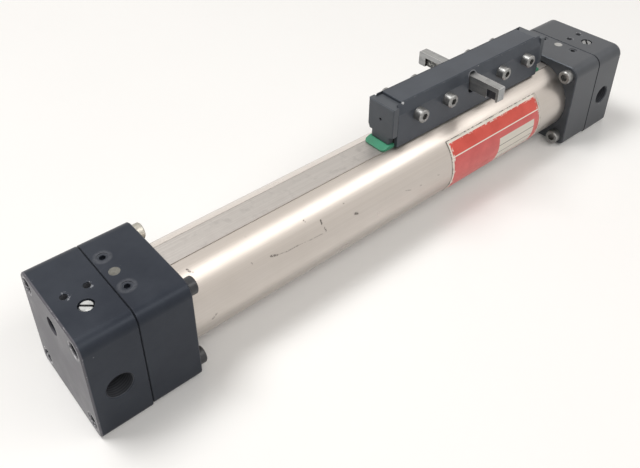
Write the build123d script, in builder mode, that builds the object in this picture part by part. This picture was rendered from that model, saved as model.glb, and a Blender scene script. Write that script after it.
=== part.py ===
from build123d import *
from math import sqrt
import os

os.makedirs("parts", exist_ok=True)

# Rodless pneumatic cylinder. X runs along the barrel, from the near end cap to the far one. The cap
# bottoms stand on Z = 0, and X = Y = 0 is the middle of the barrel. All sizes are in millimetres.

# Barrel and stroke
bore_d = 25.0
barrel_wall = 5.0
stroke = 100.0
piston_len = 127.0
end_gap = 0.5
nose_len = 4.0
rest_x = 44.0
slot_w = 5.6

# Sealing bands
band_t = 0.4
outer_band_w = 10.0
inner_band_w = 8.0
band_gap = 0.3
band_lay_gap = 0.05
outer_seat_depth = 1.3
inner_seat_rise = 0.5
outer_lift = 4.6
inner_dip = 6.0
hump_ramp = 14.0
hump_clear = 0.8
hump_r = 14.0

# End caps: an outer cover and a flange round the barrel end
cap_margin = 3.0
cover_len = 18.0
flange_len = 18.0
flange_foot = 0.8
cap_top_r = 4.5
cap_foot_r = 2.0
cap_edge = 0.35
nose_gap = 0.2
seal_groove = 1.4
seal_gap = 0.05
corner_inset = 4.5
end_tap_d = 5.0
end_tap_depth = 10.0
end_tap_lead = 0.45
port_d = 8.6
port_depth = 9.0
port_lead = 0.4
port_passage_d = 5.0
port_below_axis = 2.5
end_hole_d = 6.4
end_hole_depth = 7.0
end_hole_above_axis = 12.0
top_tap_d = 2.5
top_tap_depth = 5.0
top_tap_pitch = 7.3

# Cap screws and band clamp
screw_d = 4.0
screw_core_d = 3.4
screw_head_d = 6.0
screw_head_h = 3.2
screw_socket = 3.0
screw_socket_depth = 2.0
screw_head_edge = 0.4
screw_bite = 6.5
screw_gap = 0.25
clamp_w = 19.6
clamp_len = 6.8
clamp_t = 1.4
clamp_from_seam = 3.6
clamp_gap = 0.1
clamp_foot = 5.8
set_screw_d = 4.0
set_screw_pitch = 15.7
set_screw_socket = 2.0
set_screw_socket_depth = 1.4
set_screw_sink = 0.2
plug_d = 3.6

# End cushion
spigot_d = 9.0
spigot_bore_d = 6.0
spigot_reach = 11.0
spigot_seat = 8.5
spigot_edge = 0.75
adjuster_d = 4.6
adjuster_sink = 0.3
adjuster_recess_d = 5.1
adjuster_recess_depth = 1.5
adjuster_y = -7.0
adjuster_gap = 0.06
adjuster_slot_w = 0.8
adjuster_turn = 41.0
adjuster_slot_depth = 1.4
adjuster_seal_h = 1.2
adjuster_seal_t = 0.7
adjuster_seal_drop = 5.0
needle_d = 2.0
needle_len = 3.0
needle_edge = 0.5
bleed_d = 2.0
bleed_above_axis = 6.5

# Piston
piston_gap = 0.4
head_len = 14.5
head_edge = 0.5
head_stub_d = 12.0
head_stub_len = 6.0
head_bore_d = 10.4
head_bore_depth = 15.0
head_rim = 1.4
lip_seal_len = 4.0
lip_seal_t = 3.0
lip_seal_gap = 0.15
wear_ring_len = 3.5
wear_ring_t = 1.6
wear_ring_gap = 0.1
cushion_seal_len = 2.4
cushion_seal_t = 1.2
cushion_seal_gap = 0.2

# Yoke and carriage
web_t = 5.0
web_from_end = 8.8
floor_from_end = 7.8
yoke_gap = 0.7
wall_t = 1.5
wall_from_piston_end = 19.7
wall_rise = 19.3
bevel_in = 1.35
bevel_down = 4.2
saddle_gap = 0.15
saddle_edge = 0.4
saddle_proud = 0.15
block_len = 2.8
block_tongue = 2.7
block_inset = 0.1
block_rise = 18.3
block_lift = 4.8
block_corner_in = 2.2
block_corner_down = 1.0
block_edge = 0.4
skirt_lift = 1.9
dimple_d = 1.2
dimple_depth = 0.8
side_screw_d = 3.0
side_head_d = 5.5
right_head_h = 3.6
left_head_h = 5.0
side_socket = 2.5
side_socket_depth = 1.6
side_screw_rise = 12.2
side_screw_from_end = 10.6
side_screw_spacing = 16.5
side_screw_apart = 1.2
bar_t = 3.8
bar_h = 6.2
bar_len = 42.0
bar_rise = 14.2
bar_shift = 1.4
bar_edge = 0.7
bar_gap = 0.1
bar_window_w = 4.6
bar_window_h = 9.6
bar_window_drop = 0.6
notch_depth = 1.2
notch_h = 4.2
left_notch_from_end = 3.5
left_notch_len = 7.5
right_notch_from_end = 1.2
right_notch_len = 4.4
scraper_len = 5.9
scraper_lip = 0.5
scraper_corner = 1.6
scraper_gap = 0.25
shoe_len = 11.5
shoe_gap = 0.3

# Places worked out from the sizes above
bore_r = bore_d / 2
barrel_r = bore_r + barrel_wall
cap_w = 2 * (barrel_r + cap_margin)
corner_pitch = cap_w - 2 * corner_inset
axis_z = cap_w / 2
barrel_len = stroke + piston_len + 2 * (end_gap + nose_len)
seam_x = barrel_len / 2
nose_x = seam_x - nose_len
end_x = seam_x + cover_len
flange_x = seam_x - flange_len
cover_x = seam_x + cover_len / 2
clamp_x = seam_x - clamp_from_seam
outer_seat = barrel_r - outer_seat_depth
inner_seat = bore_r + inner_seat_rise
outer_groove_w = outer_band_w + 2 * band_gap
inner_groove_w = inner_band_w + 2 * band_gap
outer_band_z = axis_z + outer_seat
outer_band_top = outer_band_z + band_t
inner_band_z = axis_z + inner_seat - band_t - band_lay_gap
clamp_top = outer_band_top + clamp_t
nose_r = bore_r - nose_gap
port_z = axis_z - port_below_axis
bleed_z = axis_z + bleed_above_axis
adjuster_foot = bleed_z + bleed_d
piston_r = bore_r - piston_gap
head_x = piston_len / 2 - head_len
carriage_w = outer_groove_w + 2 * wall_t
saddle_w = outer_groove_w - 2 * saddle_gap
yoke_bottom = axis_z + sqrt(barrel_r**2 - (outer_groove_w / 2) ** 2) + yoke_gap
wall_top = outer_band_top + wall_rise
wall_reach = piston_len / 2 - wall_from_piston_end
wall_len = 2 * wall_reach
web_len = wall_len - 2 * web_from_end
floor_len = wall_len - 2 * floor_from_end
hump_foot = wall_reach - hump_clear
hump_flat = hump_foot - hump_ramp
saddle_reach = wall_reach - block_tongue
saddle_bottom = outer_band_top + outer_lift + shoe_gap
saddle_top = wall_top + saddle_proud
block_reach = wall_reach + block_len
block_w = carriage_w - 2 * block_inset
block_bottom = outer_band_top + block_lift
block_top = outer_band_top + block_rise
skirt_bottom = outer_band_top + skirt_lift
scraper_reach = wall_reach + scraper_len
side_screw_z = outer_band_top + side_screw_rise
side_screw_outer_x = wall_reach - side_screw_from_end
side_screw_inner_x = side_screw_outer_x - side_screw_spacing
bar_x = rest_x - bar_shift
bar_z = outer_band_top + bar_rise

# Mirror planes: the middle of the barrel, and the middle of the carriage where it stands
barrel_middle = Plane.YZ
carriage_middle = Plane.YZ.offset(rest_x)


def write(piece, name):
    """Label one piece and write it to its own file."""
    piece.label = name
    export_step(piece, f"parts/{name}.step")


def write_pair(far_piece, name, middle):
    """Write a piece of the far end, and its mirror image at the near end."""
    with BuildPart() as near:
        mirror(far_piece, about=middle)
    write(far_piece, "far_" + name)
    write(near.part, "near_" + name)


def hump_line(base_z, rise):
    """Path of a band past the yoke, seen from the side: flat, up a ramp, level and down again."""
    return FilletPolyline(
        (rest_x - hump_foot - hump_ramp, base_z),
        (rest_x - hump_foot, base_z),
        (rest_x - hump_flat, base_z + rise),
        (rest_x + hump_flat, base_z + rise),
        (rest_x + hump_foot, base_z),
        (rest_x + hump_foot + hump_ramp, base_z),
        radius=hump_r,
    )


def band_side(base_z, rise, thick, reach):
    """Side view of a band that reaches as far each way from the middle of the barrel."""
    with BuildSketch(Plane.XZ) as side:
        with BuildLine():
            lower = hump_line(base_z, rise)
            upper = hump_line(base_z + thick, rise)
            Polyline(lower @ 0, (-reach, base_z), (-reach, base_z + thick), upper @ 0)
            Polyline(lower @ 1, (reach, base_z), (reach, base_z + thick), upper @ 1)
        make_face()
    return side.sketch


def beside_hump(base_z, rise, edge_z):
    """Side view of the space between a band's path and a level edge over or under it."""
    with BuildSketch(Plane.XZ) as side:
        with BuildLine():
            path = hump_line(base_z, rise)
            Polyline(path @ 0, ((path @ 0).X, edge_z), ((path @ 1).X, edge_z), path @ 1)
        make_face()
    return side.sketch


def round_view(x, *radii):
    """End view at x on the barrel axis: a disc of the first radius, less a disc of any second."""
    with BuildSketch(Plane.YZ.offset(x)) as view:
        with Locations((0, axis_z)):
            Circle(radii[0])
            for radius in radii[1:]:
                Circle(radius, mode=Mode.SUBTRACT)
    return view.sketch


def corner_view(x, shape_of_one):
    """End view at x with one shape at each corner screw."""
    with BuildSketch(Plane.YZ.offset(x)) as view:
        with Locations((0, axis_z)):
            with GridLocations(corner_pitch, corner_pitch, 2, 2):
                shape_of_one()
    return view.sketch


def cap_view(x, foot_z):
    """End view of a cap at x: a square down to its foot, rounded more at the top than there."""
    with BuildSketch(Plane.YZ.offset(x)) as view:
        with Locations((0, cap_w)):
            Rectangle(cap_w, cap_w - foot_z, align=(Align.CENTER, Align.MAX))
        fillet(view.vertices().group_by(Axis.Y)[-1], cap_top_r)
        fillet(view.vertices().group_by(Axis.Y)[0], cap_foot_r)
    return view.sketch


def ring(x, length, outer_r, inner_r):
    """A ring on the barrel axis that starts at x."""
    with BuildPart() as made:
        extrude(round_view(x, outer_r, inner_r), amount=length)
    return made.part


# Barrel: a round extrusion with a slot along its top. The flat beside the slot seats the outer
# band, and a second flat under the slot seats the inner band.
with BuildPart() as barrel:
    with BuildSketch(Plane.YZ.offset(-seam_x)):
        with Locations((0, axis_z)):
            Circle(barrel_r)
            Circle(bore_r, mode=Mode.SUBTRACT)
        with Locations((0, axis_z + outer_seat)):
            Rectangle(outer_groove_w, barrel_r, align=(Align.CENTER, Align.MIN), mode=Mode.SUBTRACT)
        with Locations((0, axis_z + inner_seat)):
            Rectangle(inner_groove_w, inner_seat, align=(Align.CENTER, Align.MAX), mode=Mode.SUBTRACT)
        with Locations((0, axis_z)):
            Rectangle(slot_w, barrel_r, align=(Align.CENTER, Align.MIN), mode=Mode.SUBTRACT)
    extrude(amount=barrel_len)
write(barrel.part, "barrel")

# Outer band: a steel strip along the flat that rises over the yoke inside the carriage
with BuildPart() as outer_band:
    side_view = band_side(outer_band_z, outer_lift, band_t, clamp_x + clamp_len / 2)
    extrude(side_view, amount=outer_band_w / 2, both=True)
write(outer_band.part, "outer_band")

# Inner band: a second strip under the slot that dips through the yoke
with BuildPart() as inner_band:
    side_view = band_side(inner_band_z, -inner_dip, band_t, seam_x)
    extrude(side_view, amount=inner_band_w / 2, both=True)
write(inner_band.part, "inner_band")

# End cover: closes the barrel with a nose, and holds the air port and the end cushion
with BuildPart() as end_cover:
    extrude(cap_view(seam_x, 0), amount=cover_len)
    chamfer(end_cover.faces().sort_by(Axis.X)[0].edges(), cap_edge)
    chamfer(end_cover.faces().sort_by(Axis.X)[-1].edges(), cap_edge)
    extrude(round_view(seam_x, nose_r), amount=-nose_len)
    # Groove of the nose seal
    seal_groove_view = round_view(nose_x + seal_groove, nose_r, nose_r - seal_groove)
    extrude(seal_groove_view, amount=seal_groove, mode=Mode.SUBTRACT)
    # Seat of the cushion spigot, which runs on past the passage from the port
    spigot_seat_view = round_view(nose_x, spigot_d / 2)
    extrude(spigot_seat_view, amount=nose_len + (cover_len + spigot_bore_d) / 2, mode=Mode.SUBTRACT)
    # Air port in the right side, with a narrower passage to the cushion spigot
    with Locations(Plane.XZ.offset(cap_w / 2)):
        with Locations((cover_x, port_z)):
            CounterSinkHole(port_d / 2, port_d / 2 + port_lead, depth=port_depth, counter_sink_angle=90)
            Hole(port_passage_d / 2, depth=cap_w / 2)
    # Tapped holes in the end face, and a plain hole above the axis
    with Locations(Plane.YZ.offset(end_x)):
        with Locations((0, axis_z)):
            with GridLocations(corner_pitch, corner_pitch, 2, 2):
                CounterSinkHole(
                    end_tap_d / 2, end_tap_d / 2 + end_tap_lead, depth=end_tap_depth, counter_sink_angle=90
                )
        with Locations((0, axis_z + end_hole_above_axis)):
            Hole(end_hole_d / 2, depth=end_hole_depth)
    # Tapped holes for the cap screws
    tap_view = corner_view(seam_x, lambda: Circle(screw_core_d / 2))
    extrude(tap_view, amount=screw_bite + screw_gap, mode=Mode.SUBTRACT)
    # Tapped holes in the top, beside the cushion screw
    with Locations(Plane.XY.offset(cap_w)):
        with Locations((cover_x, 0)):
            with GridLocations(top_tap_pitch, 1, 2, 1):
                Hole(top_tap_d / 2, depth=top_tap_depth)
        with Locations((cover_x, adjuster_y)):
            CounterBoreHole(
                adjuster_d / 2 + adjuster_gap,
                adjuster_recess_d / 2,
                adjuster_recess_depth,
                depth=cap_w - adjuster_foot,
            )
            Hole(needle_d / 2 + adjuster_gap, depth=cap_w - port_z)
    # Bleed passage from the bore to the cushion screw
    with BuildSketch(Plane.YZ.offset(nose_x)):
        with Locations((adjuster_y, bleed_z)):
            Circle(bleed_d / 2)
    extrude(amount=nose_len + cover_len / 2, mode=Mode.SUBTRACT)
write_pair(end_cover.part, "end_cover", barrel_middle)

# Flange: the inner half of a cap, which the barrel end sits in and the cap screws pass through. Its
# foot stays clear of the ground, so the cylinder stands on the covers.
with BuildPart() as flange:
    extrude(cap_view(flange_x, flange_foot), amount=flange_len)
    chamfer(flange.faces().sort_by(Axis.X)[0].edges(), cap_edge)
    chamfer(flange.faces().sort_by(Axis.X)[-1].edges(), cap_edge)
    extrude(round_view(flange_x, barrel_r + clamp_gap), amount=flange_len, mode=Mode.SUBTRACT)
    screw_hole_view = corner_view(flange_x, lambda: Circle(screw_d / 2 + screw_gap))
    extrude(screw_hole_view, amount=flange_len, mode=Mode.SUBTRACT)
    # Pocket of the band clamp, with its two set screws and a plug above it
    with BuildSketch(Plane.XY.offset(clamp_top + clamp_gap)):
        with Locations((clamp_x, 0)):
            Rectangle(clamp_len + 2 * clamp_gap, clamp_w + 2 * clamp_gap)
    extrude(amount=-clamp_foot, mode=Mode.SUBTRACT)
    with Locations(Plane.XY.offset(cap_w)):
        with Locations((clamp_x, 0)):
            Hole(plug_d / 2, depth=cap_w - clamp_top)
            with GridLocations(1, set_screw_pitch, 1, 2):
                Hole(set_screw_d / 2, depth=cap_w - clamp_top)
write_pair(flange.part, "flange", barrel_middle)

# Cap screws: four socket heads on the barrel side of the flange
with BuildPart() as cap_screws:
    extrude(corner_view(flange_x, lambda: Circle(screw_head_d / 2)), amount=-screw_head_h)
    chamfer(cap_screws.faces().group_by(Axis.X)[0].edges(), screw_head_edge)
    extrude(corner_view(flange_x, lambda: Circle(screw_d / 2)), amount=flange_len)
    extrude(corner_view(seam_x, lambda: Circle(screw_core_d / 2)), amount=screw_bite)
    socket_view = corner_view(
        flange_x - screw_head_h, lambda: RegularPolygon(screw_socket / 2, 6, major_radius=False)
    )
    extrude(socket_view, amount=screw_socket_depth, mode=Mode.SUBTRACT)
write_pair(cap_screws.part, "cap_screws", barrel_middle)

# Band clamp: a saddle in the flange that presses the outer band onto the barrel
with BuildPart() as band_clamp:
    with BuildSketch(Plane.YZ.offset(clamp_x - clamp_len / 2)):
        with Locations((0, clamp_top)):
            Rectangle(clamp_w, clamp_foot, align=(Align.CENTER, Align.MAX))
        with Locations((0, axis_z)):
            Circle(barrel_r + clamp_gap, mode=Mode.SUBTRACT)
        with Locations((0, clamp_top)):
            Rectangle(outer_band_w, clamp_t, align=(Align.CENTER, Align.MAX))
    extrude(amount=clamp_len)
write_pair(band_clamp.part, "band_clamp", barrel_middle)

# Set screws that tighten the band clamp
with BuildPart() as clamp_screws:
    with BuildSketch(Plane.XY.offset(clamp_top)):
        with Locations((clamp_x, 0)):
            with GridLocations(1, set_screw_pitch, 1, 2):
                Circle(set_screw_d / 2)
    extrude(amount=cap_w - set_screw_sink - clamp_top)
    with BuildSketch(Plane.XY.offset(cap_w - set_screw_sink)):
        with Locations((clamp_x, 0)):
            with GridLocations(1, set_screw_pitch, 1, 2):
                RegularPolygon(set_screw_socket / 2, 6, major_radius=False)
    extrude(amount=-set_screw_socket_depth, mode=Mode.SUBTRACT)
write_pair(clamp_screws.part, "clamp_screws", barrel_middle)

# Plug over the middle of the band clamp
with BuildPart() as top_plug:
    with BuildSketch(Plane.XY.offset(clamp_top)):
        with Locations((clamp_x, 0)):
            Circle(plug_d / 2)
    extrude(amount=cap_w - clamp_top)
write_pair(top_plug.part, "top_plug", barrel_middle)

# Seal between the nose of the cover and the bore
cover_seal = ring(nose_x + seal_groove, seal_groove, bore_r - seal_gap, nose_r - seal_groove)
write_pair(cover_seal, "cover_seal", barrel_middle)

# Cushion spigot: a hollow stub on the cover that the piston slides over near the end of its stroke
with BuildPart() as spigot:
    spigot_view = round_view(nose_x - spigot_reach, spigot_d / 2, spigot_bore_d / 2)
    extrude(spigot_view, amount=spigot_reach + spigot_seat)
    tip = spigot.faces().sort_by(Axis.X)[0]
    chamfer(tip.edges().sort_by(SortBy.LENGTH)[-1], spigot_edge)
write_pair(spigot.part, "cushion_spigot", barrel_middle)


def adjuster_view(z, radius):
    """Plan view of the cushion screw at a height."""
    with BuildSketch(Plane.XY.offset(z)) as view:
        with Locations((cover_x, adjuster_y)):
            Circle(radius)
    return view.sketch


# Cushion screw: a slotted head over a needle that throttles the last of the air
adjuster_top = cap_w - adjuster_sink
adjuster_seal_z = adjuster_top - adjuster_seal_drop
adjuster_seal_r = adjuster_d / 2 - adjuster_seal_t
with BuildPart() as cushion_screw:
    extrude(adjuster_view(adjuster_top, adjuster_d / 2), amount=adjuster_foot - adjuster_top)
    chamfer(cushion_screw.faces().sort_by(Axis.Z)[-1].edges(), cap_edge)
    extrude(adjuster_view(adjuster_foot, needle_d / 2), amount=-needle_len)
    chamfer(cushion_screw.faces().sort_by(Axis.Z)[0].edges(), needle_edge)
    with BuildSketch(Plane.XY.offset(adjuster_top)):
        with Locations((cover_x, adjuster_y)):
            Rectangle(2 * adjuster_d, adjuster_slot_w, rotation=adjuster_turn)
    extrude(amount=-adjuster_slot_depth, mode=Mode.SUBTRACT)
    with BuildSketch(Plane.XY.offset(adjuster_seal_z)):
        with Locations((cover_x, adjuster_y)):
            Circle(adjuster_d / 2)
            Circle(adjuster_seal_r, mode=Mode.SUBTRACT)
    extrude(amount=-adjuster_seal_h, mode=Mode.SUBTRACT)
write_pair(cushion_screw.part, "cushion_screw", barrel_middle)

# Seal in the groove of the cushion screw
with BuildPart() as adjuster_seal:
    with BuildSketch(Plane.XY.offset(adjuster_seal_z)):
        with Locations((cover_x, adjuster_y)):
            Circle(adjuster_d / 2)
            Circle(adjuster_seal_r, mode=Mode.SUBTRACT)
    extrude(amount=-adjuster_seal_h)
write_pair(adjuster_seal.part, "cushion_screw_seal", barrel_middle)


def side_screw_view(y, shape_of_one):
    """Side view at y to the right of the middle, with one shape at each side screw."""
    with BuildSketch(Plane.XZ.offset(y)) as view:
        for screw_x in (side_screw_inner_x, side_screw_outer_x):
            with Locations((rest_x - screw_x, side_screw_z), (rest_x + screw_x, side_screw_z)):
                shape_of_one()
    return view.sketch


# Yoke: the piston body in the bore, a web through the slot, and a channel above the barrel. The
# inner band runs through the body and the outer band runs along the channel floor.
with BuildPart() as piston_yoke:
    extrude(round_view(rest_x - head_x, piston_r), amount=2 * head_x)
    with BuildSketch(Plane.XY.offset(axis_z)):
        with Locations((rest_x, 0)):
            Rectangle(web_len, web_t)
    extrude(amount=yoke_bottom - axis_z)
    # Channel: a floor and two walls with bevelled shoulders
    with BuildSketch(Plane.YZ.offset(rest_x - wall_reach)) as channel_view:
        with Locations((0, yoke_bottom)):
            Rectangle(carriage_w, wall_top - yoke_bottom, align=(Align.CENTER, Align.MIN))
        chamfer(channel_view.vertices().group_by(Axis.Y)[-1], bevel_down, bevel_in)
    extrude(amount=wall_len)
    channel_side = beside_hump(outer_band_z - band_gap, outer_lift, wall_top)
    extrude(channel_side, amount=outer_groove_w / 2, both=True, mode=Mode.SUBTRACT)
    with BuildSketch(Plane.XY.offset(yoke_bottom)):
        with Locations((rest_x, 0)):
            Rectangle(wall_len, outer_groove_w)
            Rectangle(floor_len, outer_groove_w, mode=Mode.SUBTRACT)
    extrude(amount=wall_top - yoke_bottom, mode=Mode.SUBTRACT)
    # Tunnel of the inner band
    tunnel_side = band_side(inner_band_z - band_gap, -inner_dip, band_t + 2 * band_gap, seam_x)
    extrude(tunnel_side, amount=inner_groove_w / 2, both=True, mode=Mode.SUBTRACT)
    # Sockets of the two piston heads
    for end in (-head_x, head_x - head_stub_len):
        extrude(round_view(rest_x + end, head_stub_d / 2), amount=head_stub_len, mode=Mode.SUBTRACT)
    # Holes of the side screws, and the window that the driver bar passes through
    wall_hole_view = side_screw_view(0, lambda: Circle(side_screw_d / 2 + screw_gap))
    extrude(wall_hole_view, amount=carriage_w, both=True, mode=Mode.SUBTRACT)
    with BuildSketch(Plane.XZ):
        with Locations((bar_x, bar_z - bar_window_drop)):
            SlotOverall(bar_window_h, bar_window_w, rotation=90)
    extrude(amount=carriage_w, both=True, mode=Mode.SUBTRACT)
write(piston_yoke.part, "piston_yoke")

# Saddle: the block between the channel walls that carries the load and covers the outer band
with BuildPart() as saddle:
    with BuildSketch(Plane.XY.offset(saddle_bottom)):
        with Locations((rest_x, 0)):
            Rectangle(2 * saddle_reach, saddle_w)
    extrude(amount=saddle_top - saddle_bottom)
    fillet(saddle.faces().sort_by(Axis.Z)[-1].edges(), saddle_edge)
    with BuildSketch(Plane.XZ):
        with Locations((bar_x, bar_z)):
            Rectangle(bar_t + 2 * bar_gap, bar_h + 2 * bar_gap)
    extrude(amount=saddle_w, both=True, mode=Mode.SUBTRACT)
    # Tapped holes for the side screws, from each side
    right_tap_view = side_screw_view(side_screw_apart / 2, lambda: Circle(side_screw_d / 2))
    extrude(right_tap_view, amount=saddle_w, mode=Mode.SUBTRACT)
    left_tap_view = side_screw_view(-side_screw_apart / 2, lambda: Circle(side_screw_d / 2))
    extrude(left_tap_view, amount=-saddle_w, mode=Mode.SUBTRACT)
write(saddle.part, "carriage_saddle")


def side_screw_set(head_h):
    """The socket head screws that clamp the right channel wall to the saddle."""
    with BuildPart() as made:
        extrude(side_screw_view(carriage_w / 2, lambda: Circle(side_head_d / 2)), amount=head_h)
        chamfer(made.faces().group_by(Axis.Y)[0].edges(), screw_head_edge)
        shank_view = side_screw_view(side_screw_apart / 2, lambda: Circle(side_screw_d / 2))
        extrude(shank_view, amount=(carriage_w - side_screw_apart) / 2)
        socket_view = side_screw_view(
            carriage_w / 2 + head_h,
            lambda: RegularPolygon(side_socket / 2, 6, major_radius=False),
        )
        extrude(socket_view, amount=-side_socket_depth, mode=Mode.SUBTRACT)
    return made.part


# Side screws: the left ones have taller heads, which show past the lid
write(side_screw_set(right_head_h), "right_side_screws")
with BuildPart() as left_side_screws:
    mirror(side_screw_set(left_head_h), about=Plane.XZ)
write(left_side_screws.part, "left_side_screws")

# Driver bar: a flat steel bar across the carriage, notched near both ends
with BuildPart() as driver_bar:
    with BuildSketch(Plane.YZ.offset(bar_x - bar_t / 2)) as bar_view:
        with Locations((0, bar_z)):
            Rectangle(bar_len, bar_h)
        fillet(bar_view.vertices(), bar_edge)
    extrude(amount=bar_t)
    left_notch_y = bar_len / 2 - left_notch_from_end - left_notch_len / 2
    right_notch_y = right_notch_len / 2 + right_notch_from_end - bar_len / 2
    with BuildSketch(Plane.YZ.offset(bar_x - bar_t / 2)):
        with Locations((left_notch_y, bar_z - bar_h / 2)):
            Rectangle(left_notch_len, notch_h, align=(Align.CENTER, Align.MIN))
        with Locations((right_notch_y, bar_z - bar_h / 2)):
            Rectangle(right_notch_len, notch_h, align=(Align.CENTER, Align.MIN))
    extrude(amount=notch_depth, mode=Mode.SUBTRACT)
write(driver_bar.part, "driver_bar")

# End block: closes the end of the channel, with a tongue between the walls and a skirt below
with BuildPart() as end_block:
    with BuildSketch(Plane.YZ.offset(rest_x + wall_reach)) as block_view:
        with Locations((0, block_bottom)):
            Rectangle(block_w, block_top - block_bottom, align=(Align.CENTER, Align.MIN))
        chamfer(block_view.vertices().group_by(Axis.Y)[0], block_corner_down, block_corner_in)
        with Locations((0, skirt_bottom)):
            Rectangle(
                block_w - 2 * block_corner_in,
                block_bottom - skirt_bottom,
                align=(Align.CENTER, Align.MIN),
            )
    extrude(amount=block_reach - wall_reach)
    chamfer(end_block.faces().sort_by(Axis.X)[-1].edges(), block_edge)
    with BuildSketch(Plane.YZ.offset(rest_x + saddle_reach)):
        with Locations((0, block_bottom)):
            Rectangle(saddle_w, block_top - block_bottom, align=(Align.CENTER, Align.MIN))
    extrude(amount=wall_reach - saddle_reach)
    with Locations(Plane.YZ.offset(rest_x + block_reach)):
        with Locations((0, (block_top + block_bottom) / 2)):
            Hole(dimple_d / 2, depth=dimple_depth)
write_pair(end_block.part, "end_block", carriage_middle)

# Scraper: a soft wedge under the end block that wipes the outer band
scraper_bottom = outer_band_top + scraper_gap
with BuildPart() as scraper:
    with BuildSketch(Plane.XZ):
        with BuildLine():
            Polyline(
                (rest_x + wall_reach, scraper_bottom),
                (rest_x + scraper_reach, scraper_bottom),
                (rest_x + scraper_reach, scraper_bottom + scraper_lip),
                (rest_x + block_reach, skirt_bottom),
                (rest_x + wall_reach, skirt_bottom),
                close=True,
            )
        make_face()
    extrude(amount=outer_groove_w / 2, both=True)
    fillet(scraper.edges().filter_by(Axis.Z).group_by(Axis.X)[-1], scraper_corner)
write_pair(scraper.part, "scraper", carriage_middle)

# Band shoe: a plastic guide in the channel that leads the outer band back down to the barrel
with BuildPart() as band_shoe:
    with BuildSketch(Plane.XY.offset(outer_band_z)):
        with Locations((rest_x + wall_reach, 0)):
            Rectangle(shoe_len, saddle_w, align=(Align.MAX, Align.CENTER))
    extrude(amount=block_bottom - outer_band_z)
    under_shoe = beside_hump(outer_band_top + shoe_gap, outer_lift, axis_z)
    extrude(under_shoe, amount=outer_groove_w / 2, both=True, mode=Mode.SUBTRACT)
write_pair(band_shoe.part, "band_shoe", carriage_middle)

# Piston head: carries the seals, and is hollow to take the cushion spigot
lip_seal_x = head_x + head_len - head_rim - lip_seal_len
wear_ring_x = lip_seal_x - head_rim - wear_ring_len
cushion_seal_x = head_x + head_len - head_rim - cushion_seal_len
lip_seal_r = bore_r - lip_seal_gap
wear_ring_r = bore_r - wear_ring_gap
cushion_seal_r = spigot_d / 2 + cushion_seal_gap
with BuildPart() as piston_head:
    extrude(round_view(rest_x + head_x, piston_r), amount=head_len)
    chamfer(piston_head.faces().sort_by(Axis.X)[-1].edges(), head_edge)
    extrude(round_view(rest_x + head_x, head_stub_d / 2), amount=-head_stub_len)
    head_bore_view = round_view(rest_x + head_x + head_len, head_bore_d / 2)
    extrude(head_bore_view, amount=-head_bore_depth, mode=Mode.SUBTRACT)
    lip_groove = round_view(rest_x + lip_seal_x, piston_r, lip_seal_r - lip_seal_t)
    extrude(lip_groove, amount=lip_seal_len, mode=Mode.SUBTRACT)
    wear_groove = round_view(rest_x + wear_ring_x, piston_r, wear_ring_r - wear_ring_t)
    extrude(wear_groove, amount=wear_ring_len, mode=Mode.SUBTRACT)
    cushion_groove = round_view(rest_x + cushion_seal_x, cushion_seal_r + cushion_seal_t)
    extrude(cushion_groove, amount=cushion_seal_len, mode=Mode.SUBTRACT)
write_pair(piston_head.part, "piston_head", carriage_middle)

# Rings in the grooves of the piston head
lip_seal = ring(rest_x + lip_seal_x, lip_seal_len, lip_seal_r, lip_seal_r - lip_seal_t)
write_pair(lip_seal, "piston_seal", carriage_middle)
wear_ring = ring(rest_x + wear_ring_x, wear_ring_len, wear_ring_r, wear_ring_r - wear_ring_t)
write_pair(wear_ring, "wear_ring", carriage_middle)
cushion_seal = ring(
    rest_x + cushion_seal_x, cushion_seal_len, cushion_seal_r + cushion_seal_t, cushion_seal_r
)
write_pair(cushion_seal, "cushion_seal", carriage_middle)
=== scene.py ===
import math

import bpy
from mathutils import Matrix, Vector


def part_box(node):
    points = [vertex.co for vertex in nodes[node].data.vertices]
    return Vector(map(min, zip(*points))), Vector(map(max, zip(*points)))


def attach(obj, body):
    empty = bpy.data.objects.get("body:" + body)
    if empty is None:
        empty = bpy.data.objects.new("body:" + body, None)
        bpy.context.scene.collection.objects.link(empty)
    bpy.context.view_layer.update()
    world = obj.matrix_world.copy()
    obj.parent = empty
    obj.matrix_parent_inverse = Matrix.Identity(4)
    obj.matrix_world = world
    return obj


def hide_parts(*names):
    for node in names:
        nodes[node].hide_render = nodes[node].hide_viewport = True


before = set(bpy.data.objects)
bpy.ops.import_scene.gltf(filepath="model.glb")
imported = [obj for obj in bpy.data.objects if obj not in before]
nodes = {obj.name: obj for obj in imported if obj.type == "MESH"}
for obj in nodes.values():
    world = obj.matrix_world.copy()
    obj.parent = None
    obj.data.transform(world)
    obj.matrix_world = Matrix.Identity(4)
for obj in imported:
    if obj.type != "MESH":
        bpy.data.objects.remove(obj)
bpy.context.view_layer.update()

scene = bpy.context.scene

# Places on the caps, in metres. The barrel lies along X with its middle at x = 0, and the near cap
# mirrors the far one, so each place along X is given for the far cap.
axis_z = 0.0205
seam_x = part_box("barrel")[1].x
end_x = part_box("far_end_cover")[1].x
cap_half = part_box("far_end_cover")[1].y
cap_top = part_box("far_end_cover")[1].z
cover_x = (seam_x + end_x) / 2
clamp_x = (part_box("far_top_plug")[0].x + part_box("far_top_plug")[1].x) / 2
set_screw_y = 0.00785
end_hole_step = 0.016
top_hole_step = 0.00365
port_z = 0.018

# The cushion screw and the turn of its slot
screw_low, screw_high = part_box("far_cushion_screw")
screw_x = (screw_low.x + screw_high.x) / 2
screw_y = (screw_low.y + screw_high.y) / 2
slot_turn = math.radians(41)

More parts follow.
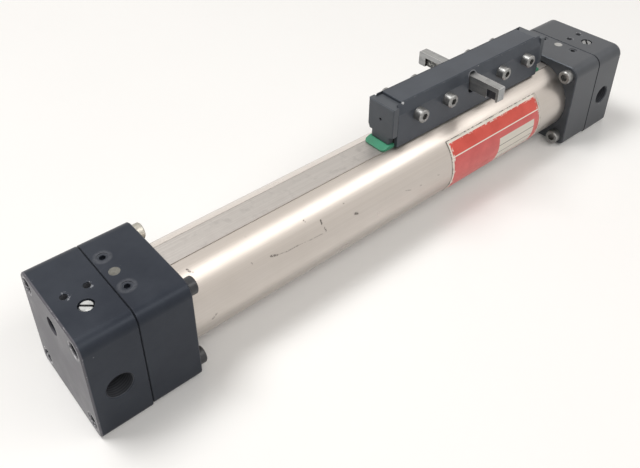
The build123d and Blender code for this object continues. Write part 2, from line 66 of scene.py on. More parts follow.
# Tapped holes of the caps: radius, depth, pitch, and the colours of the thread's valleys (painted shade)
# and crests (painted highlights)
port_thread = (0.0043, 0.0090, 0.0009, (0.052, 0.055, 0.064), (0.085, 0.089, 0.099))
end_thread = (0.0026, 0.0100, 0.0010, (0.012, 0.013, 0.016), (0.11, 0.11, 0.115))
top_thread = (0.0013, 0.0050, 0.0005, (0.06, 0.063, 0.073), (0.16, 0.165, 0.18))

# The carriage at rest: its middle, the corner of its lid where a glint is painted (x, y, z), and the
# round upper end of the driver bar's window in the right wall (x, z)
saddle_low, saddle_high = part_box("carriage_saddle")
rest_x = (saddle_low.x + saddle_high.x) / 2
lid_corner = (saddle_low.x + 0.0002, -0.0057, saddle_high.z - 0.0003)
bar_low, bar_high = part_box("driver_bar")
window_top = ((bar_low.x + bar_high.x) / 2, bar_high.z - 0.0012)

# The notches in the driver bar's near face: their top, and their ends along Y
notch_top = bar_low.z + 0.0042
right_notch = (-0.0199, -0.0153)
left_notch = (0.0099, 0.0176)
notch_fade = 0.0001

# Rings round holes, by the distance from the axis: the halo's is wear, the others are painted
# highlights.
# Each rises from 0 to 1 over the first two values, and falls to 0 again over the last two
halo_ring = ((0.0010, 0.0020), (0.0025, 0.0034))
rim_highlight_ring = ((0.0026, 0.0028), (0.0032, 0.0037))
glint_ring = ((0.0020, 0.0023), (0.0031, 0.0035))
burr_glint_ring = ((0.0011, 0.0013), (0.0019, 0.0023))
window_highlight_ring = ((0.0021, 0.0023), (0.0026, 0.0029))

# The bands lie against the left side of their groove, so the gap shows on the right, as in the photo.
# Where the yoke passes, the outer one rises and the inner one dips, with a ramp at both ends.
band_lean = 0.00024
band_thick = 0.0004
outer_rise, inner_rise = 0.0046, -0.0060
hump_half, hump_ramp, hump_steps = 0.043, 0.014, 48

# The barrel, and the Y and Z over which the strip left of its groove, painted paler as a highlight,
# fades in
barrel_r = 0.0175
shoulder_y = (0.0049, 0.0054)
shoulder_z = (axis_z + 0.0135, axis_z + 0.0150)

# The photo's scratches and nicks on the barrel, one straight stroke each: start and end as (x, distance
# down from the top, measured round the surface), width, and how dark it is
barrel_marks = (
    ((-0.0503, 0.0134), (-0.0501, 0.0139), 0.00045, 0.9),
    ((-0.0442, 0.0162), (-0.0443, 0.0176), 0.00045, 0.95),
    ((-0.0437, 0.0193), (-0.0435, 0.0207), 0.00042, 0.9),
    ((-0.0671, 0.0186), (-0.0648, 0.0193), 0.00050, 0.8),
    ((-0.0648, 0.0193), (-0.0608, 0.0200), 0.00026, 0.38),
    ((-0.0608, 0.0200), (-0.0558, 0.0201), 0.00032, 0.50),
    ((-0.0558, 0.0201), (-0.0509, 0.0206), 0.00022, 0.28),
    ((-0.0509, 0.0206), (-0.0452, 0.0209), 0.00028, 0.38),
    ((-0.0297, 0.0204), (-0.0284, 0.0208), 0.00070, 0.9),
    ((-0.0948, 0.0091), (-0.0944, 0.0101), 0.00050, 0.9),
    ((-0.0939, 0.0106), (-0.0935, 0.0109), 0.00040, 0.6),
    ((-0.0910, 0.0277), (-0.0925, 0.0290), 0.00055, 0.5),
    ((-0.0745, 0.0173), (-0.0744, 0.0177), 0.00035, 0.5),
    ((-0.0330, 0.0149), (-0.0326, 0.0150), 0.00035, 0.5),
    ((-0.0039, 0.0228), (-0.0013, 0.0237), 0.00028, 0.45),
    ((0.0037, 0.0241), (0.0044, 0.0243), 0.00040, 0.5),
    ((0.0140, 0.0241), (0.0146, 0.0243), 0.00040, 0.45),
)

# The label. On it, u runs along the barrel from the label's near end, and v down from its top edge.
# A box on it is (u from, u to, v from, v to): the inner one lies inside the cream border, the panel is
# ruled, scuffs stay outside the unworn one, and dirt outside the clean one.
label_start = 0.0227
label_len = 0.0583
label_top_angle = math.radians(133.5)
label_foot_angle = math.radians(221)
label_drop = (label_foot_angle - label_top_angle) * barrel_r
label_lift, label_thick = 0.00007, 0.00008
label_columns, label_rows = 24, 28
divider, divider_thick = 0.0071, 0.0005
inner_box = (0.0011, label_len - 0.0009, 0.0014, label_drop - 0.0012)
panel_box = (0.0300, label_len - 0.0044, 0.0106, label_drop - 0.0030)
unworn_box = (0.002, label_len - 0.002, 0.002, label_drop - 0.002)
clean_box = (0.0003, label_len - 0.0003, 0.0003, label_drop - 0.0003)
ruled_lines, ruled_thick = (0.0141, 0.0180, 0.0219), 0.0003
print_fade = 0.00012


class Nodes:
    """A new material whose nodes are added one call at a time."""

    def __init__(self, name):
        self.material = bpy.data.materials.new(name)
        self.material.use_nodes = True
        self.tree = self.material.node_tree
        self.tree.nodes.clear()
        self.shader = self.add("ShaderNodeBsdfPrincipled")
        self.link(self.shader.outputs[0], self.add("ShaderNodeOutputMaterial").inputs[0])
        self.position = self.add("ShaderNodeTexCoord").outputs["Object"]
        self.x, self.y, self.z = self.axes(self.position)

    def add(self, kind):
        return self.tree.nodes.new(kind)

    def link(self, a, b):
        self.tree.links.new(a, b)

    def put(self, socket, value):
        """Link a socket to another, or set its value."""
        if isinstance(value, bpy.types.NodeSocket):
            self.link(value, socket)
        elif isinstance(value, tuple) and len(value) == 3 and socket.type == "RGBA":
            socket.default_value = (*value, 1)
        else:
            socket.default_value = value

    def set(self, **values):
        """Fill the shader's inputs, with their names' spaces as underscores."""
        for key, value in values.items():
            self.put(self.shader.inputs[key.replace("_", " ")], value)

    def math(self, operation, *values, clamp=False):
        node = self.add("ShaderNodeMath")
        node.operation = operation
        node.use_clamp = clamp
        for socket, value in zip(node.inputs, values):
            self.put(socket, value)
        return node.outputs[0]

    def vector(self, operation, *values):
        node = self.add("ShaderNodeVectorMath")
        node.operation = operation
        for socket, value in zip(node.inputs, values):
            self.put(socket, value)
        is_number = operation in ("DOT_PRODUCT", "LENGTH", "DISTANCE")
        return node.outputs["Value" if is_number else "Vector"]

    def axes(self, vector):
        node = self.add("ShaderNodeSeparateXYZ")
        self.put(node.inputs[0], vector)
        return node.outputs

    def joined(self, a, b):
        """Two numbers as the first two parts of a vector."""
        node = self.add("ShaderNodeCombineXYZ")
        self.put(node.inputs[0], a)
        self.put(node.inputs[1], b)
        return node.outputs[0]

    def stretched(self, scale):
        """Position with each axis scaled."""
        return self.vector("MULTIPLY", self.position, scale)

    def noise(self, scale, detail=3.0, rough=0.5, at=None):
        node = self.add("ShaderNodeTexNoise")
        self.put(node.inputs["Vector"], at or self.position)
        node.inputs["Scale"].default_value = scale
        node.inputs["Detail"].default_value = detail
        node.inputs["Roughness"].default_value = rough
        return node.outputs["Fac"]

    def span(self, value, low, high, to_low=0.0, to_high=1.0):
        """Value from low to high, turned into to_low to to_high and held outside."""
        node = self.add("ShaderNodeMapRange")
        node.clamp = True
        node.interpolation_type = "SMOOTHSTEP"
        for socket, number in zip(node.inputs, (value, low, high, to_low, to_high)):
            self.put(socket, number)
        return node.outputs[0]

    def between(self, value, rise, fall):
        """From 0 up to 1 over the rise (low, high), and back to 0 over the fall (low, high)."""
        return self.product(self.span(value, *rise), self.span(value, fall[1], fall[0]))

    def within(self, value, low, high, fade):
        """1 from low to high, with both ends faded out over this distance to either side."""
        return self.between(value, (low - fade, low + fade), (high - fade, high + fade))

    def spread(self, noise, to_low=0.0, to_high=1.0):
        """The usual range of a noise, turned into to_low to to_high."""
        return self.span(noise, 0.3, 0.7, to_low, to_high)

    def patches(self, scale, low, high, detail=4, rough=0.7):
        """0 where a noise is below low, and 1 where it is above high."""
        return self.span(self.noise(scale, detail, rough), low, high)

    def specks(self, scale, rim, core):
        """Small round spots: 1 within the core's radius and 0 outside the rim's, in parts of a cell."""
        node = self.add("ShaderNodeTexVoronoi")
        self.put(node.inputs["Vector"], self.position)
        node.inputs["Scale"].default_value = scale
        return self.span(node.outputs["Distance"], rim, core)

    def mix(self, share, a, b):
        """Colour a with a share of colour b. A Mix node keeps its colours at inputs 6 and 7."""
        node = self.add("ShaderNodeMix")
        node.data_type = "RGBA"
        self.put(node.inputs[0], share)
        self.put(node.inputs[6], a)
        self.put(node.inputs[7], b)
        return node.outputs[2]

    def edges(self, radius):
        """From 0 on a flat face to 1 on a sharp edge, within the radius."""
        flat_cosine, edge_cosine = 0.985, 0.80
        bevel = self.add("ShaderNodeBevel")
        bevel.samples = 6
        bevel.inputs[0].default_value = radius
        normal = self.add("ShaderNodeNewGeometry").outputs["Normal"]
        lean = self.vector("DOT_PRODUCT", bevel.outputs[0], normal)
        return self.span(lean, flat_cosine, edge_cosine)

    def product(self, *values):
        """All the values multiplied together."""
        total = values[0]
        for value in values[1:]:
            total = self.math("MULTIPLY", total, value)
        return total

    def away(self, a, b, place):
        """Distance of two coordinates from a fixed place."""
        da = self.math("SUBTRACT", a, place[0])
        db = self.math("SUBTRACT", b, place[1])
        return self.math("SQRT", self.math("ADD", self.product(da, da), self.product(db, db)))

    def stroke(self, at, start, end, width):
        """1 on a straight mark between two (a, b) places, fading to 0 at its edge."""
        start, end = Vector((*start, 0)), Vector((*end, 0))
        along = end - start
        rest = self.vector("SUBTRACT", at, tuple(start))
        run = self.vector("DOT_PRODUCT", rest, tuple(along))
        share = self.math("DIVIDE", run, along.dot(along), clamp=True)
        nearest = self.add("ShaderNodeVectorMath")
        nearest.operation = "SCALE"
        nearest.inputs[0].default_value = along
        self.link(share, nearest.inputs["Scale"])
        gap = self.vector("LENGTH", self.vector("SUBTRACT", rest, nearest.outputs[0]))
        return self.span(gap, width, width * 0.4)

    def bump(self, height, distance, strength):
        node = self.add("ShaderNodeBump")
        self.put(node.inputs["Height"], height)
        node.inputs["Distance"].default_value = distance
        node.inputs["Strength"].default_value = strength
        return node.outputs[0]


# Masks on the caps. Side is -1 on the near cap and 1 on the far one.
def outward(m, side):
    """Distance from the barrel's middle towards a cap."""
    return m.math("MULTIPLY", m.x, side)


def on_top(m):
    return m.span(m.z, cap_top - 0.0009, cap_top - 0.0005)


def on_end(m, side):
    return m.span(outward(m, side), end_x - 0.0008, end_x - 0.0004)


def end_hole_gaps(m):
    """Distance from the axis of each hole in the corners of an end face."""
    for step_y in (-end_hole_step, end_hole_step):
        for step_z in (-end_hole_step, end_hole_step):
            yield m.away(m.y, m.z, (step_y, axis_z + step_z))


# Layers on the caps' black. Each takes the colour so far and gives it back with its own marks.
def threads(m, base, gap, depth, thread, share=1.0):
    """Fine rings of painted shade and highlight inside a tapped hole, by the distance from its axis and
    the depth below its face.
    """
    radius, length, pitch, valley, crest = thread
    inside = m.span(gap, radius + 0.0002, radius)
    inside = m.product(inside, m.between(depth, (0.0001, 0.0003), (length, length + 0.0002)))
    turns = m.math("SINE", m.math("MULTIPLY", depth, 2 * math.pi / pitch))
    return m.mix(m.product(inside, share), base, m.mix(m.span(turns, -0.6, 0.6), valley, crest))


def set_screw_halos(m, base, side):
    """Rubbed ring round each set screw, clearer on the near cap."""
    share = 0.5 if side < 0 else 0.15
    uneven = m.span(m.noise(900, 3, 0.6), 0.25, 0.6, to_low=0.35, to_high=1.0)
    for halo_y in (-set_screw_y, set_screw_y):
        gap = m.away(m.x, m.y, (side * clamp_x, halo_y))
        halo = m.product(m.between(gap, *halo_ring), on_top(m), uneven)
        base = m.mix(m.product(halo, share), base, (0.12, 0.125, 0.14))
    return base


def end_face_nicks_and_highlights(m, base, side):
    """Rims round the corner holes painted pale as highlights, nicked edges, and the end face painted
    unevenly paler as reflected light.
    """
    end = on_end(m, side)
    patchy = m.patches(520, 0.44, 0.58, 4, 0.65)
    for gap in end_hole_gaps(m):
        # painted highlight on each rim
        rim = m.product(m.between(gap, *rim_highlight_ring), end, patchy)
        base = m.mix(m.product(rim, 0.85), base, (0.52, 0.52, 0.54))
    nick = m.product(m.edges(0.0011), end, m.patches(330, 0.56, 0.60, 5, 0.75))
    base = m.mix(nick, base, (0.60, 0.60, 0.61))
    # painted reflection: the whole end face is lightened, unevenly
    end_face_reflection = m.math("MAXIMUM", m.patches(70, 0.5, 0.75, 5), 0.55)
    return m.mix(m.product(end_face_reflection, end, 0.65), base, (0.29, 0.272, 0.30))


def port_threads(m, base, side):
    gap = m.away(m.x, m.z, (side * cover_x, port_z))
    return threads(m, base, gap, m.math("ADD", m.y, cap_half), port_thread)


def end_hole_threads(m, base, side):
    """Threads in the corner holes, with glints painted at their mouths."""
    depth = m.math("SUBTRACT", end_x, outward(m, side))
    bright = m.product(m.patches(1150, 0.565, 0.60), m.span(depth, 0.0022, 0.0016))
    for gap in end_hole_gaps(m):
        base = threads(m, base, gap, depth, end_thread, 0.8)
        glint = m.product(m.between(gap, *glint_ring), bright)
        base = m.mix(m.product(glint, 0.9), base, (0.70, 0.70, 0.73))
    return base


def top_hole_threads(m, base, side):
    """Threads in the two top holes, with a glint painted on a burr at the far side of each rim."""
    depth = m.math("SUBTRACT", cap_top, m.z)
    ragged = m.patches(1300, 0.53, 0.60)
    for step in (-top_hole_step, top_hole_step):
        hole_x = side * cover_x + step
        gap = m.away(m.x, m.y, (hole_x, 0.0))
        base = threads(m, base, gap, depth, top_thread)
        burr_glint = m.product(m.between(gap, *burr_glint_ring), on_top(m))
        burr_glint = m.product(burr_glint, m.span(m.x, hole_x - 0.0002, hole_x + 0.0006), ragged)
        # painted glint on the burr
        base = m.mix(m.product(burr_glint, 0.75), base, (0.40, 0.41, 0.44))
    return base


def dark_seam(m, base, side, specular):
    """Dark, dull line between cover and flange, wider on the far cap, which the photo shows at a slant.

    Gives the colour and the specular level.
    """
    seam_half, seam_dull = (0.0003, 0.1) if side < 0 else (0.0006, 0.6)
    gap = m.math("ABSOLUTE", m.math("SUBTRACT", outward(m, side), seam_x))
    seam = m.span(gap, seam_half, seam_half * 0.4)
    kept = m.math("SUBTRACT", 1.0, m.product(seam, seam_dull))
    return m.mix(m.product(seam, 0.8), base, (0.006, 0.007, 0.009)), m.product(kept, specular)


# Layers on the carriage's black
def lid_corner_glint(m, base):
    """Painted highlight at the near end of the lid's right edge, where its corner glints."""
    nick = m.span(m.vector("DISTANCE", m.position, lid_corner), 0.0009, 0.0004)
    upper_part = m.span(m.z, lid_corner[2] - 0.0009, lid_corner[2] - 0.0007)
    nick = m.product(nick, upper_part, m.patches(900, 0.36, 0.52, 3))
    return m.mix(nick, base, (0.62, 0.63, 0.65))


def window_rim_highlight(m, base):
    """Painted highlight on the rim over the driver bar's window in the right wall."""
    rim = m.between(m.away(m.x, m.z, window_top), *window_highlight_ring)
    upper_half = m.span(m.z, window_top[1], window_top[1] + 0.001)
    rim = m.product(rim, upper_half, m.span(m.y, -0.0050, -0.0054))
    # painted highlight on the window's upper rim
    return m.mix(m.product(rim, 0.8), base, (0.26, 0.27, 0.29))


def black_anodised(name, dark, light, specular, side=0, rubbed=0.7):
    """Blue-black anodised aluminium with a sandy face, rubbed edges and a few chips.

    Side is -1 on the near cap, 1 on the far one and 0 on the carriage.
    """
    m = Nodes(name)
    cloud = m.noise(55, 4, 0.6)
    base = m.mix(m.spread(cloud), dark, light)
    rub = m.product(m.edges(0.00045), m.patches(420, 0.42, 0.74, 3, 0.6))
    base = m.mix(m.product(rub, rubbed), base, (0.20, 0.21, 0.23))
    chip = m.product(m.edges(0.0008), m.patches(210, 0.655, 0.69, 5))
    base = m.mix(chip, base, (0.55, 0.55, 0.55))
    dust = m.product(m.specks(330, 0.10, 0.04), m.patches(60, 0.60, 0.66, 2, 0.5))
    base = m.mix(m.product(dust, 0.5), base, (0.35, 0.35, 0.36))
    if side:
        for layer in (set_screw_halos, end_face_nicks_and_highlights, port_threads, end_hole_threads, top_hole_threads):
            base = layer(m, base, side)
        base, specular = dark_seam(m, base, side, specular)
    else:
        # painted highlights: the lid's corner glint and the window's upper rim
        base = window_rim_highlight(m, lid_corner_glint(m, base))
    m.set(Base_Color=base, Roughness=m.spread(cloud, 0.33, 0.43), Metallic=0.0)
    m.set(Specular_IOR_Level=specular, Specular_Tint=(0.80, 0.88, 1.0))
    grain = m.math("ADD", m.noise(2600, 2, 0.5), m.product(m.noise(700, 3), 0.6))
    m.set(Normal=m.bump(grain, 0.00004, 0.35))
    return m.material


def barrel_metal():
    """Satin silver anodised extrusion, drawn along X, with the photo's scratches and specks."""
    m = Nodes("barrel_metal")
    drawn = m.noise(1.0, 4, 0.6, at=m.stretched((12, 2400, 2400)))
    fine = m.noise(1.0, 2, 0.5, at=m.stretched((300, 5200, 5200)))
    cloud = m.noise(28, 4, 0.6)
    base = m.mix(m.span(drawn, 0.25, 0.75), (0.525, 0.484, 0.450), (0.565, 0.524, 0.490))
    base = m.mix(m.span(cloud, 0.35, 0.75, to_high=0.35), base, (0.45, 0.41, 0.37))
    dirt = m.product(m.specks(120, 0.075, 0.03), m.patches(33, 0.60, 0.64, 2, 0.5))
    base = m.mix(m.product(dirt, 0.55), base, (0.17, 0.15, 0.14))
    # The strip left of the groove is painted paler as a highlight, and shows as a thin line beside the
    # band
    shoulder_highlight = m.product(m.span(m.y, *shoulder_y), m.span(m.z, *shoulder_z))
    base = m.mix(m.product(shoulder_highlight, 0.9), base, (0.75, 0.70, 0.655))
    # The scratches are drawn on the barrel's surface as if it was rolled out flat
    angle = m.math("ARCTAN2", m.math("MULTIPLY", m.y, -1.0), m.math("SUBTRACT", m.z, axis_z))
    rolled_out = m.joined(m.x, m.product(angle, barrel_r))
    ragged = m.patches(1500, 0.36, 0.56, 3)
    for start, end, width, share in barrel_marks:
        mark = m.product(m.stroke(rolled_out, start, end, width), ragged)
        base = m.mix(m.product(mark, share), base, (0.050, 0.040, 0.036))
    m.set(Base_Color=base, Roughness=m.spread(cloud, 0.27, 0.34), Metallic=0.85)
    height = m.math("ADD", m.product(drawn, 0.7), m.product(fine, 0.5))
    m.set(Normal=m.bump(height, 0.00003, 0.22))
    return m.material


def metal_base(m, dark, light, along, tarnish):
    """Colour of bare or plated metal with fine marks and dull patches.

    Along is how dense the marks are on each axis, so they are longest where it is smallest. Gives the
    colour, the marks and the noise behind the patches.
    """
    marks = m.noise(1.0, 3, 0.6, at=m.stretched(along))
    cloud = m.noise(240, 4, 0.6)
    base = m.mix(m.span(marks, 0.25, 0.75), dark, light)
    dull = tuple(part * 0.45 for part in dark)
    return m.mix(m.span(cloud, 0.5, 0.75, to_high=tarnish), base, dull), marks, cloud


def metal_finish(m, base, marks, cloud, rough, metallic):
    """Fill in the shader, with the patches in its roughness and the marks as a fine relief."""
    m.set(Base_Color=base, Roughness=m.spread(cloud, rough, rough + 0.12), Metallic=metallic)
    m.set(Normal=m.bump(marks, 0.00002, 0.4))
    return m.material


def metal(name, dark, light, rough, along, metallic, tarnish):
    """Steel or aluminium with paler edges."""
    m = Nodes(name)
    base, marks, cloud = metal_base(m, dark, light, along, tarnish)
    paler = tuple(min(1, part * 1.35) for part in light)
    base = m.mix(m.product(m.edges(0.00025), 0.35), base, paler)
    return metal_finish(m, base, marks, cloud, rough, metallic)


def bar_metal():
    """Cold-rolled steel bar with painted edge highlights, painted shade in one notch and flecks in the
    other.
    """
    m = Nodes("bar_steel")
    base, marks, cloud = metal_base(m, (0.27, 0.275, 0.28), (0.41, 0.415, 0.415), (2200, 60, 900), 0.45)
    # painted highlight along the edges
    base = m.mix(m.product(m.edges(0.0003), 0.8), base, (0.80, 0.80, 0.79))
    behind_face = m.between(
        m.x, (bar_low.x + 0.0002, bar_low.x + 0.0005), (bar_low.x + 0.0013, bar_low.x + 0.0015))
    sunk = m.product(behind_face, m.span(m.z, notch_top + notch_fade, notch_top - notch_fade))
    right = m.product(sunk, m.within(m.y, *right_notch, notch_fade))
    left = m.product(sunk, m.within(m.y, *left_notch, notch_fade))
    flecked = m.mix(m.patches(900, 0.47, 0.58), (0.05, 0.052, 0.05), (0.36, 0.36, 0.34))
    # painted shade in the right notch
    base = m.mix(m.product(right, 0.9), base, (0.058, 0.060, 0.074))
    base = m.mix(m.product(left, 0.9), base, flecked)
    return metal_finish(m, base, marks, cloud, 0.30, 0.9)


def slotted_zinc(name, side, dark, light):
    """Plated head of a cushion screw, with painted shade along its slot. Side is -1 or 1, as on the
    caps.
    """
    m = Nodes(name)
    base, marks, cloud = metal_base(m, dark, light, (700, 700, 700), 0.35)
    across = m.product(m.math("SUBTRACT", m.x, side * screw_x), -side * math.sin(slot_turn))
    across = m.math("ADD", across, m.product(m.math("SUBTRACT", m.y, screw_y), math.cos(slot_turn)))
    slot = m.span(m.math("ABSOLUTE", across), 0.00046, 0.00034)
    # painted shade along the slot, wider than the slot itself
    base = m.mix(m.product(slot, 0.9), base, (0.035, 0.037, 0.042))
    return metal_finish(m, base, marks, cloud, 0.30, 0.8)


def soft(name, low, high, rough, edge=None):
    """Plastic or rubber: slightly uneven colour with a fine grain, and paler edges if edge is given."""
    m = Nodes(name)
    cloud = m.noise(100, 4, 0.6)
    base = m.mix(m.spread(cloud), low, high)
    if edge:
        base = m.mix(m.product(m.edges(0.0005), 0.5), base, edge)
    m.set(Base_Color=base, Roughness=m.spread(cloud, rough, rough + 0.15))
    m.set(Normal=m.bump(m.noise(1500, 2), 0.00003, 0.4))
    return m.material


def mixed_screws(name):
    """Black oxide screws, apart from the top left one, which is plated."""
    m = Nodes(name)
    plated = m.product(m.span(m.y, 0.0, 0.001), m.span(m.z, axis_z, axis_z + 0.001))
    cloud = m.noise(300, 4, 0.6)
    black = m.mix(m.spread(cloud), (0.016, 0.018, 0.022), (0.034, 0.036, 0.041))
    zinc = m.mix(m.spread(cloud), (0.36, 0.35, 0.31), (0.52, 0.50, 0.45))
    black = m.mix(m.product(m.edges(0.00025), 0.3), black, (0.16, 0.16, 0.17))
    m.set(Base_Color=m.mix(plated, black, zinc), Metallic=m.product(plated, 0.85))
    m.set(Roughness=m.spread(cloud, 0.30, 0.42), Normal=m.bump(m.noise(900, 3), 0.00002, 0.4))
    return m.material


def label_material():
    """Red sticker with a cream border, a dividing line and a ruled panel, scuffed near its edges."""
    m = Nodes("label_red")
    u, v, _ = m.axes(m.add("ShaderNodeTexCoord").outputs["UV"])

    def box(u_from, u_to, v_from, v_to):
        return m.product(m.within(u, u_from, u_to, print_fade), m.within(v, v_from, v_to, print_fade))

    def outside(sides):
        return m.math("SUBTRACT", 1.0, box(*sides))

    cream = (0.96, 0.885, 0.79)
    faded = m.spread(m.noise(120, 4, 0.6))
    head = m.mix(faded, (0.67, 0.080, 0.056), (0.76, 0.104, 0.076))
    foot = m.mix(faded, (0.64, 0.098, 0.092), (0.73, 0.130, 0.122))
    colour = m.mix(m.span(v, divider, divider + 0.0001), head, foot)
    colour = m.mix(box(0.0, label_len, divider, divider + divider_thick), colour, cream)
    panel = box(*panel_box)
    colour = m.mix(panel, colour, (0.74, 0.70, 0.62))
    for line in ruled_lines:
        ruled = m.product(panel, m.within(v, line, line + ruled_thick, print_fade))
        colour = m.mix(ruled, colour, (0.09, 0.06, 0.05))
    colour = m.mix(box(*inner_box), cream, colour)
    # Scuffs: paper shows through near the edges
    torn = m.product(outside(unworn_box), m.patches(520, 0.53, 0.58, 5))
    colour = m.mix(m.product(torn, 0.85), colour, (0.92, 0.87, 0.79))
    # Dirt that the sticker's rim has caught, most at its top near corner
    caught = m.span(m.away(u, v, (0.0, 0.0)), 0.0100, 0.0015, to_low=0.50, to_high=0.38)
    dirt = m.span(m.math("SUBTRACT", m.noise(420, 4, 0.7), caught), 0.0, 0.05)
    colour = m.mix(m.product(outside(clean_box), dirt, 0.85), colour, (0.035, 0.035, 0.032))
    gloss = m.spread(m.noise(2600, 3, 0.6), 0.30, 0.42)
    m.set(Base_Color=colour, Roughness=gloss, Metallic=0.0)
    m.set(Normal=m.bump(m.noise(260, 3), 0.00008, 0.3))
    return m.material


# One finish for both caps, with the near cap's black painted darker as shade and the far cap's lighter
# as glare
near_black_shaded = black_anodised("near_cap_black_shaded", (0.018, 0.0215, 0.031), (0.028, 0.0325, 0.043), 0.26, -1)
far_black_glare = black_anodised("far_cap_black_glare", (0.050, 0.054, 0.061), (0.069, 0.073, 0.081), 0.42, 1)
carriage_black = black_anodised("carriage_black", (0.043, 0.049, 0.061), (0.062, 0.070, 0.084), 0.38)
block_black = black_anodised(
    "block_black", (0.066, 0.073, 0.083), (0.088, 0.095, 0.106), 0.36, rubbed=0.05)
silver = barrel_metal()
bar_steel = bar_metal()
cap_screw_mix = mixed_screws("near_cap_screws")
near_zinc = slotted_zinc("near_screw_zinc", -1, (0.40, 0.415, 0.42), (0.56, 0.57, 0.57))
far_zinc = slotted_zinc("far_screw_zinc", 1, (0.21, 0.215, 0.22), (0.34, 0.345, 0.35))
band_grey = metal(
    "band_grey", (0.43, 0.408, 0.39), (0.495, 0.472, 0.452), 0.40, (14, 2600, 2600), 0.85, 0.3)
screw_grey = metal(
    "screw_grey", (0.20, 0.202, 0.20), (0.34, 0.34, 0.336), 0.30, (800, 800, 800), 0.88, 0.6)
plug_grey = metal("plug_grey", (0.10, 0.098, 0.086), (0.17, 0.167, 0.15), 0.5, (600, 600, 600), 0.4, 0.5)
plug_pale = metal("plug_pale", (0.36, 0.36, 0.35), (0.48, 0.48, 0.47), 0.4, (600, 600, 600), 0.4, 0.3)
bare = metal("bare_aluminium", (0.55, 0.55, 0.55), (0.72, 0.72, 0.72), 0.3, (400, 1500, 1500), 0.95, 0.1)
rubber = soft("seal_rubber", (0.012, 0.012, 0.012), (0.03, 0.03, 0.03), 0.65)
green = soft("green_wiper", (0.022, 0.20, 0.105), (0.04, 0.28, 0.16), 0.48, (0.20, 0.46, 0.34))
guide = soft("guide_plastic", (0.62, 0.60, 0.52), (0.76, 0.74, 0.66), 0.5)

# A node has the finish of its own name, or else of its name without near, far, left or right
finish_of = {
    "barrel": silver,
    "outer_band": band_grey,
    "inner_band": band_grey,
    "near_end_cover": near_black_shaded,
    "far_end_cover": far_black_glare,
    "near_flange": near_black_shaded,
    "far_flange": far_black_glare,
    "near_cap_screws": cap_screw_mix,
    "far_cap_screws": screw_grey,
    "band_clamp": bare,
    "near_clamp_screws": near_black_shaded,
    "far_clamp_screws": far_black_glare,
    "near_top_plug": plug_grey,
    "far_top_plug": plug_pale,
    "cover_seal": rubber,
    "cushion_spigot": bare,
    "piston_yoke": carriage_black,
    "carriage_saddle": carriage_black,
    "side_screws": screw_grey,
    "driver_bar": bar_steel,
    "end_block": block_black,
    "scraper": green,
    "band_shoe": rubber,
    "piston_head": bare,
    "piston_seal": rubber,
    "wear_ring": guide,
    "cushion_seal": rubber,
    "near_cushion_screw": near_zinc,
    "far_cushion_screw": far_zinc,
    "cushion_screw_seal": rubber,
}
for name, piece in nodes.items():
    kind = name
    for prefix in ("near_", "far_", "left_", "right_"):
        kind = kind.removeprefix(prefix)
    piece.data.materials.clear()
    piece.data.materials.append(finish_of.get(name) or finish_of[kind])


def new_piece(name, points, faces, material, body, uv=None):
    """A mesh that rides on a body, with one UV place for each point if uv is given."""
    mesh = bpy.data.meshes.new(name)
    mesh.from_pydata(points, [], faces)
    mesh.update()
    if uv:
        layer = mesh.uv_layers.new(name="UVMap")
        for loop in mesh.loops:
            layer.data[loop.index].uv = uv[loop.vertex_index]
    piece = bpy.data.objects.new(name, mesh)
    scene.collection.objects.link(piece)
    mesh.materials.append(material)
    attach(piece, body)
    return piece


def swept_strip(path, half_width):
    """Points and faces of a closed strip along a path of (x, z) places, which lie on its underside."""
    corners = ((-half_width, 0), (half_width, 0), (half_width, band_thick), (-half_width, band_thick))
    points = [(x, y + band_lean, z + up) for x, z in path for y, up in corners]
    faces = [(0, 1, 2, 3), tuple(len(points) - 1 - i for i in range(4))]
    for i in range(len(path) - 1):
        for k in range(4):
            a, b = 4 * i + k, 4 * i + (k + 1) % 4
            faces.append((a, a + 4, b + 4, b))
    return points, faces


def band_pieces(node, rise):
    """A flat strip that stays with the cylinder, and the lifted stretch that rides on the carriage."""
    low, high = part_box(node)
    base = low.z if rise > 0 else high.z - band_thick
    flat = swept_strip([(low.x, base), (high.x, base)], high.y)
    strip = new_piece(node + "_flat", *flat, band_grey, "cylinder")
    path = []
    for i in range(hump_steps + 1):
        x = hump_half * (2 * i / hump_steps - 1)
        ramp = min(1.0, max(0.0, (hump_half - abs(x)) / hump_ramp))
        path.append((rest_x + x, base + rise * ramp * ramp * (3 - 2 * ramp)))
    hump = new_piece(node + "_lifted", *swept_strip(path, high.y), band_grey, "carriage")
    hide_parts(node)
    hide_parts(node)


def add_label():
    """Thin sticker on the barrel's right side, with a UV map in metres."""
    radius = barrel_r + label_lift
    points, uv, faces = [], [], []
    for row in range(label_rows + 1):
        down = row / label_rows
        angle = label_top_angle + (label_foot_angle - label_top_angle) * down
        for column in range(label_columns + 1):
            u = label_len * column / label_columns
            points.append((label_start + u, radius * math.cos(angle), axis_z + radius * math.sin(angle)))
            uv.append((u, label_drop * down))
    for row in range(label_rows):
        for column in range(label_columns):
            a = row * (label_columns + 1) + column
            faces.append((a, a + 1, a + label_columns + 2, a + label_columns + 1))
    label = new_piece("label", points, faces, label_material(), "cylinder", uv)
    for polygon in label.data.polygons:
        polygon.use_smooth = True
    label.modifiers.new("thickness", "SOLIDIFY").thickness = label_thick


band_pieces("outer_band", outer_rise)
band_pieces("inner_band", inner_rise)
add_label()


def seen_directly(tree):
    """1 for rays from the camera, in reflections and through clear things, and 0 for other light."""
    rays = tree.nodes.new("ShaderNodeLightPath")
    seen = rays.outputs["Is Camera Ray"]
    for kind in ("Is Glossy Ray", "Is Transmission Ray"):
        either = tree.nodes.new("ShaderNodeMath")
        either.operation = "MAXIMUM"
        tree.links.new(seen, either.inputs[0])
        tree.links.new(rays.outputs[kind], either.inputs[1])
        seen = either.outputs[0]
    return seen


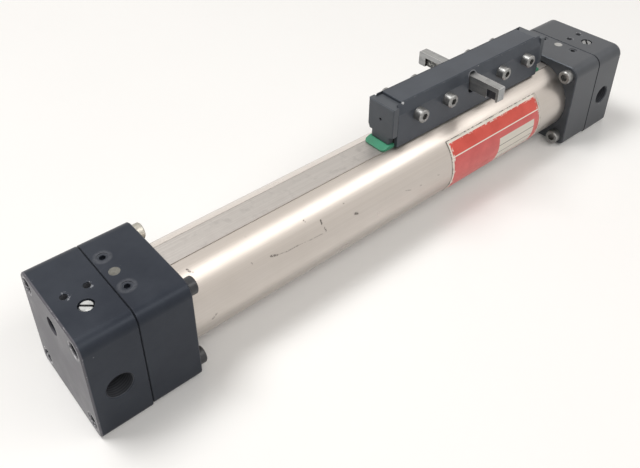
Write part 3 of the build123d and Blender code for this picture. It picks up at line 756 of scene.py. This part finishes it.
def add_floor():
    """Plain pale floor, a hair under the part so that their faces don't mix.

    The lamps light its middle, so it glows more further out.
    """
    half, drop = 3, 0.00002
    mesh = bpy.data.meshes.new("floor")
    mesh.from_pydata([(-half, -half, 0), (half, -half, 0), (half, half, 0), (-half, half, 0)], [],
                     [(0, 1, 2, 3)])
    floor = bpy.data.objects.new("floor", mesh)
    floor.location.z = -drop
    scene.collection.objects.link(floor)
    m = Nodes("floor_pale")
    pale = m.mix(m.spread(m.noise(6, 2)), (0.93, 0.925, 0.915), (0.945, 0.94, 0.93))
    m.set(Base_Color=pale, Roughness=0.30, Emission_Color=(1.0, 0.985, 0.97))
    glow = m.span(m.vector("LENGTH", m.position), 0.40, 1.90, to_low=0.055, to_high=0.62)
    m.set(Emission_Strength=m.product(seen_directly(m.tree), glow))
    mesh.materials.append(m.material)


def add_world(colour, light, shown):
    """Plain surroundings that light the part weakly and show brighter than that."""
    world = bpy.data.worlds.new("studio")
    scene.world = world
    world.use_nodes = True
    tree = world.node_tree
    background = tree.nodes["Background"]
    background.inputs["Color"].default_value = (*colour, 1)
    level = tree.nodes.new("ShaderNodeMapRange")
    tree.links.new(seen_directly(tree), level.inputs["Value"])
    level.inputs["To Min"].default_value = light
    level.inputs["To Max"].default_value = shown
    tree.links.new(level.outputs[0], background.inputs["Strength"])


def add_lamp(name, place, size, watts, colour):
    """Rectangular lamp that is aimed at the middle of the part."""
    part_middle = Vector((0, 0, 0.02))
    light = bpy.data.lights.new(name, "AREA")
    light.shape = "RECTANGLE"
    light.size, light.size_y = size
    light.energy = watts
    light.color = colour
    lamp = bpy.data.objects.new(name, light)
    scene.collection.objects.link(lamp)
    lamp.location = place
    lamp.rotation_mode = "QUATERNION"
    lamp.rotation_quaternion = (part_middle - Vector(place)).to_track_quat("-Z", "X")


def add_camera(place, yaw, pitch, roll, focal_px, shift_px):
    """The photo's camera. Yaw and pitch turn its view from +X, and its picture is 640 pixels wide."""
    picture_w, sensor_mm = 640, 36
    level = math.cos(pitch)
    forward = Vector((level * math.cos(yaw), level * math.sin(yaw), math.sin(pitch)))
    level_right = forward.cross(Vector((0, 0, 1))).normalized()
    level_up = level_right.cross(forward)
    right = math.cos(roll) * level_right + math.sin(roll) * level_up
    up = math.cos(roll) * level_up - math.sin(roll) * level_right
    lens = bpy.data.cameras.new("camera")
    lens.sensor_width = sensor_mm
    lens.lens = sensor_mm * focal_px / picture_w
    lens.shift_y = shift_px / picture_w
    lens.clip_start, lens.clip_end = 0.01, 20
    camera = bpy.data.objects.new("camera", lens)
    scene.collection.objects.link(camera)
    turn = Matrix((right, up, -forward)).transposed().to_4x4()
    camera.matrix_world = Matrix.Translation(place) @ turn
    scene.camera = camera


add_floor()
add_world(colour=(1.0, 0.965, 0.92), light=0.16, shown=1.0)
add_lamp("key", place=(0.10, -0.56, 0.80), size=(0.36, 1.6), watts=4.9, colour=(1.0, 0.98, 0.95))
add_lamp("window", place=(-0.36, 0.36, 1.14), size=(0.5, 0.5), watts=9.6, colour=(1.0, 0.99, 0.975))
add_camera(
    place=(-0.172166, -0.162365, 0.201781), yaw=0.86098, pitch=-0.60061, roll=0.00476,
    focal_px=739.155, shift_px=-100)
scene.view_settings.view_transform = "Standard"
